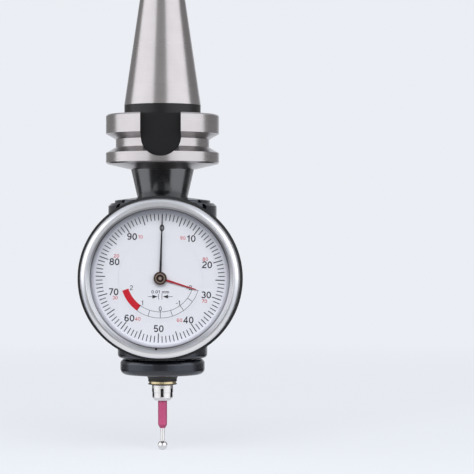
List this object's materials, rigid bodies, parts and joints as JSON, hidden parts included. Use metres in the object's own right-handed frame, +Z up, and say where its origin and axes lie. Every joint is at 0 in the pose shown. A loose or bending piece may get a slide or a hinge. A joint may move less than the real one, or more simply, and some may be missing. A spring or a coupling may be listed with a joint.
{
  "type": "3d edge finder",
  "caption": "Spindle-mounted edge finder on a steep-taper shank: large dial gauge in a black housing, tilting and lifting stylus with a ceramic section and a ball.",
  "frame": {"origin": "on the spindle axis, in the gauge plane of the taper", "axes": "+Z up the spindle axis to the small end of the taper, -Y out of the dial towards the reader, +X to the reader's right"},
  "size_m": [0.0652, 0.0522, 0.1867],
  "materials": {
    "ground_steel": "satin ground and hardened",
    "black_housing": "smooth black coating, soft gloss",
    "black_case": "smooth black coating, soft gloss",
    "black_cap": "black, soft gloss",
    "screw_black": "black oxide",
    "steel_screw": "turned",
    "boot_rubber": "matt moulded",
    "movement_brass": "satin",
    "bronze": "turned bearing bronze",
    "dial_white": "matt white enamel",
    "spring_steel": "drawn wire",
    "blued_steel": "blued",
    "satin_bezel": "satin turned",
    "crystal_clear": "clear polished",
    "pinion_steel": "hardened and ground",
    "hand_black": "matt black",
    "hand_red": "matt red",
    "hub_bronze": "turned",
    "satin_steel": "satin turned",
    "clip_brass": "turned",
    "pink_ceramic": "ground ceramic",
    "polished_steel": "lapped and polished"
  },
  "bodies": {
    "holder_body": {"taper_shank": "ground_steel", "housing": "black_housing", "clamp_screws": "screw_black", "adjusting_screws": "screw_black", "gauge_case": "black_case", "case_screws": "steel_screw", "bottom_cap": "black_cap", "sealing_boot": "boot_rubber", "back_plate": "movement_brass", "front_plate": "movement_brass", "plate_pillars": "movement_brass", "plate_screws": "steel_screw", "dial_feet": "movement_brass", "dial_plate": "dial_white", "upper_bush": "bronze", "lower_bush": "bronze", "arbor_bush": "bronze", "lift_spring": "spring_steel", "plunger_spring": "spring_steel", "hairspring": "blued_steel"},
    "bezel_body": {"bezel": "satin_bezel", "bezel_wire": "spring_steel", "crystal": "crystal_clear", "dial_ring": "dial_white", "scale_ring": "dial_white", "index_dot": "screw_black"},
    "main_hand_body": {"centre_arbor": "pinion_steel", "main_hand": "hand_black", "hub_cap": "hub_bronze"},
    "turn_hand_body": {"turn_tube": "pinion_steel", "turn_wheel": "movement_brass", "turn_hand": "hand_red"},
    "rack_arbor_body": {"rack_arbor": "pinion_steel", "drive_wheel": "movement_brass", "turn_drive_wheel": "movement_brass"},
    "plunger_body": {"rack_plunger": "pinion_steel", "thrust_plate": "pinion_steel", "guide_pin": "pinion_steel"},
    "sleeve_body": {"guide_sleeve": "satin_steel"},
    "gimbal_body": {"gimbal_ring": "satin_steel", "gimbal_pins": "pinion_steel"},
    "stylus_body": {"stylus_holder": "satin_steel", "thrust_ball": "pinion_steel", "boot_clip": "clip_brass", "holder_nut": "satin_steel", "lock_nut": "satin_steel", "ceramic_section": "pink_ceramic", "stylus_stem": "satin_steel", "stylus_ball": "polished_steel"}
  },
  "joints": [
    {"name": "bezel_turn", "type": "hinge", "parent": "holder_body", "child": "bezel_body", "pos_m": [0, 0, -0.0679], "axis": [0, 1, 0], "continuous": true},
    {"name": "main_hand_turn", "type": "hinge", "parent": "holder_body", "child": "main_hand_body", "pos_m": [0, 0, -0.0679], "axis": [0, 1, 0], "range_deg": [0, 1440]},
    {"name": "turn_hand_turn", "type": "hinge", "parent": "holder_body", "child": "turn_hand_body", "pos_m": [0, 0, -0.0679], "axis": [0, 1, 0], "range_deg": [0, 144]},
    {"name": "rack_arbor_turn", "type": "hinge", "parent": "holder_body", "child": "rack_arbor_body", "pos_m": [-0.00359, 0, -0.0575], "axis": [0, 1, 0], "range_deg": [-144, 0]},
    {"name": "plunger_slide", "type": "slide", "parent": "holder_body", "child": "plunger_body", "axis": [0, 0, 1], "range_m": [0, 0.004], "deforming": ["plunger_spring", "hairspring"]},
    {"name": "sleeve_slide", "type": "slide", "parent": "holder_body", "child": "sleeve_body", "axis": [0, 0, 1], "range_m": [0, 0.004], "stiffness_N_per_m": 300, "springref_m": -0.008, "deforming": ["lift_spring", "sealing_boot"]},
    {"name": "tilt_x", "type": "hinge", "parent": "sleeve_body", "child": "gimbal_body", "pos_m": [0, 0, -0.0968], "axis": [1, 0, 0], "range_deg": [-8, 8], "stiffness_Nm_per_rad": 0.2},
    {"name": "tilt_y", "type": "hinge", "parent": "gimbal_body", "child": "stylus_body", "pos_m": [0, 0, -0.0968], "axis": [0, 1, 0], "range_deg": [-8, 8], "stiffness_Nm_per_rad": 0.2}
  ],
  "couplings": [
    {"joint": "main_hand_turn", "follows": "sleeve_slide", "rad_per_m": 6283.2},
    {"joint": "turn_hand_turn", "follows": "sleeve_slide", "rad_per_m": 628.32},
    {"joint": "rack_arbor_turn", "follows": "sleeve_slide", "rad_per_m": -628.32},
    {"joint": "plunger_slide", "follows": "sleeve_slide", "ratio": 1}
  ]
}
